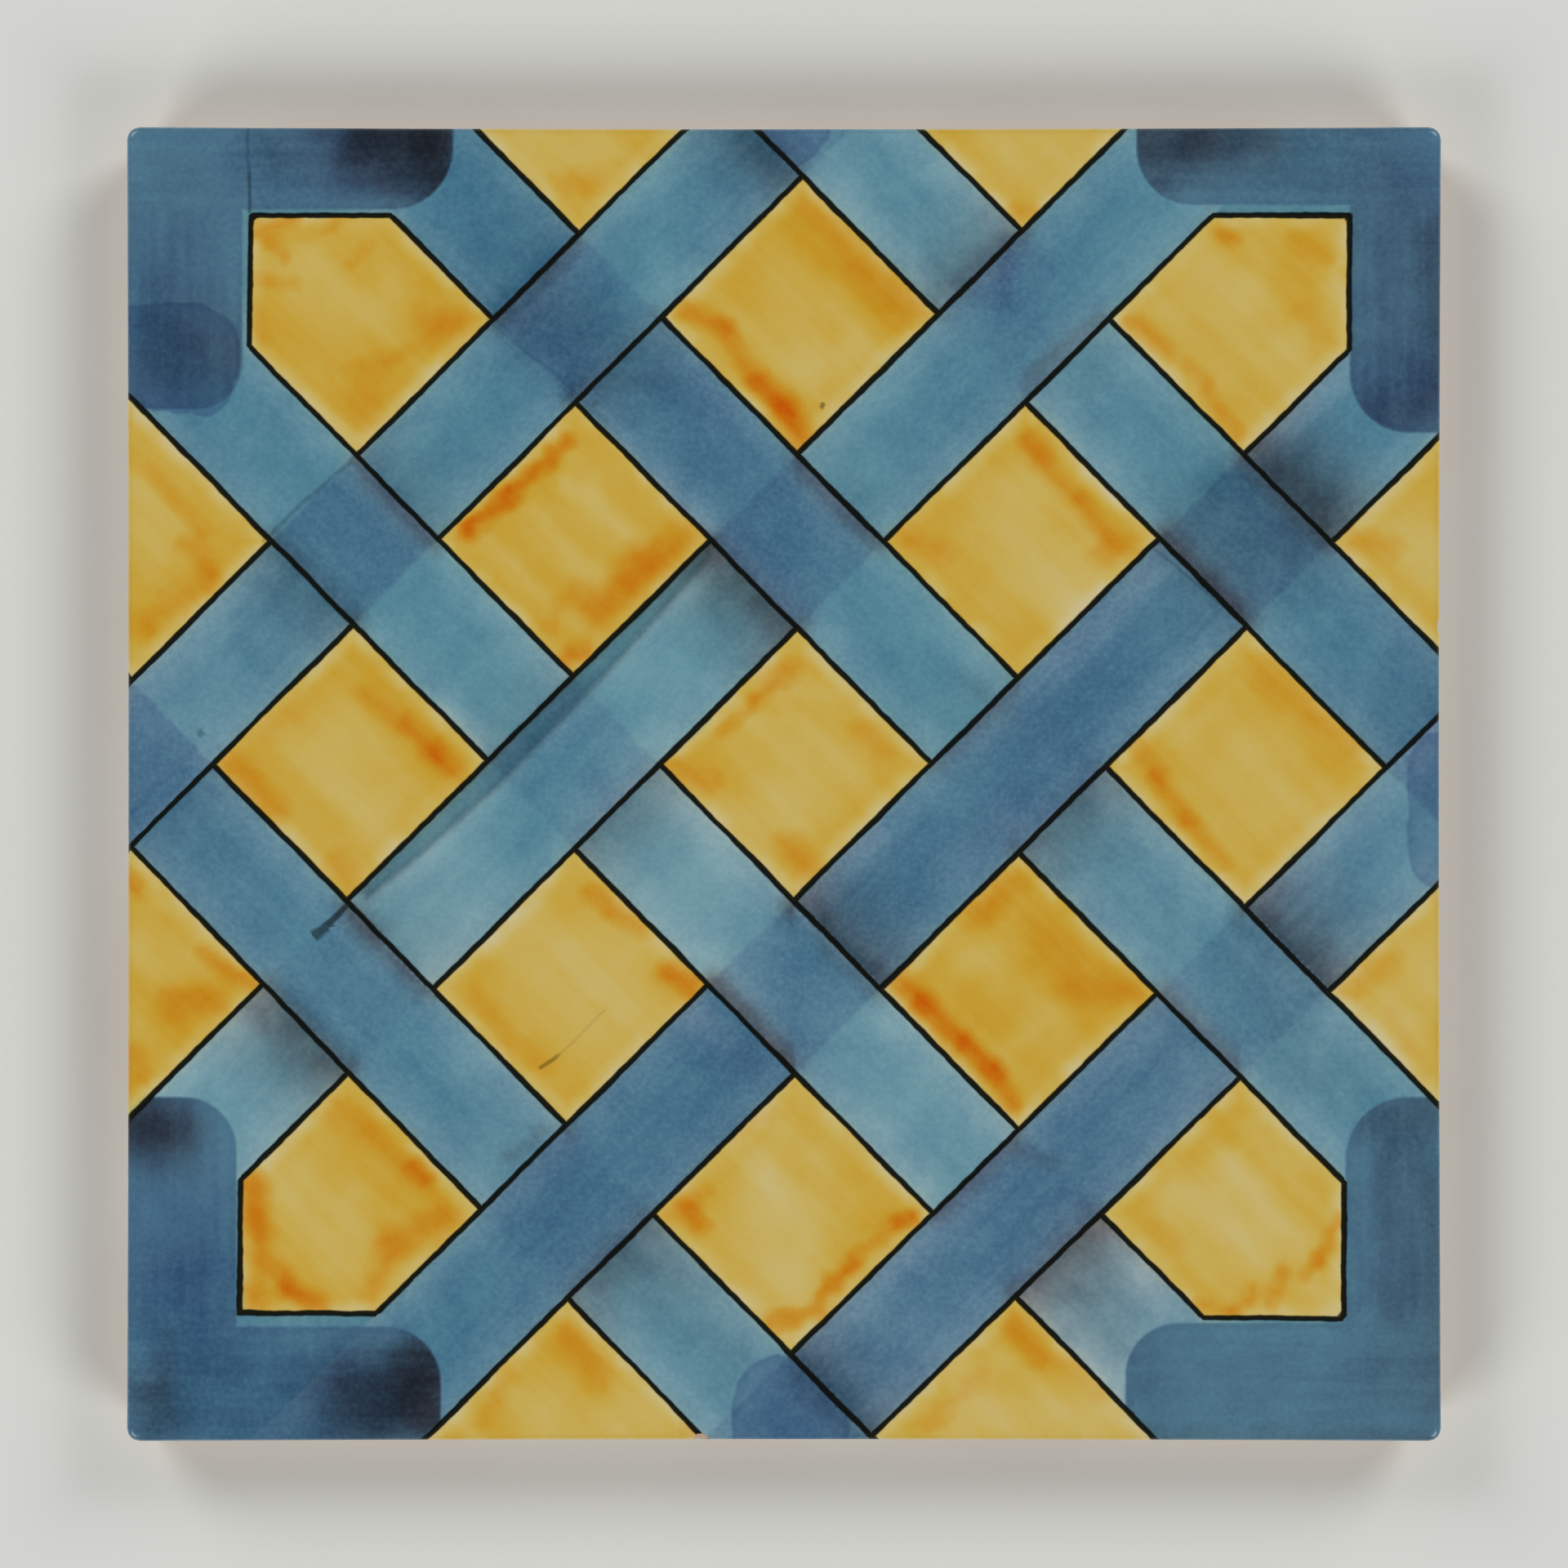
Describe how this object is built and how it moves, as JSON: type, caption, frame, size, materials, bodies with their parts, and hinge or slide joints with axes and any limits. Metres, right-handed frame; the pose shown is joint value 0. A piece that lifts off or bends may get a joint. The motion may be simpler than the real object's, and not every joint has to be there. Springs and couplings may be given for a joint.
{
  "type": "hand-painted clay tile",
  "caption": "Square hand-pressed clay tile with a glazed, slightly crowned face painted with a woven lattice of bands, sides that lean in to the foot, and a combed keying back.",
  "frame": {"origin": "middle of the back, on the plane of its lands, where the tile rests", "axes": "+Z out of the painted face, +Y towards the edge of the face that is uppermost in a front view, +X to its right; the combed grooves run along Y"},
  "size_m": [0.2, 0.2, 0.012],
  "materials": {
    "glazed_clay": "satin"
  },
  "bodies": {
    "root": {"tile": "glazed_clay"}
  },
  "joints": []
}
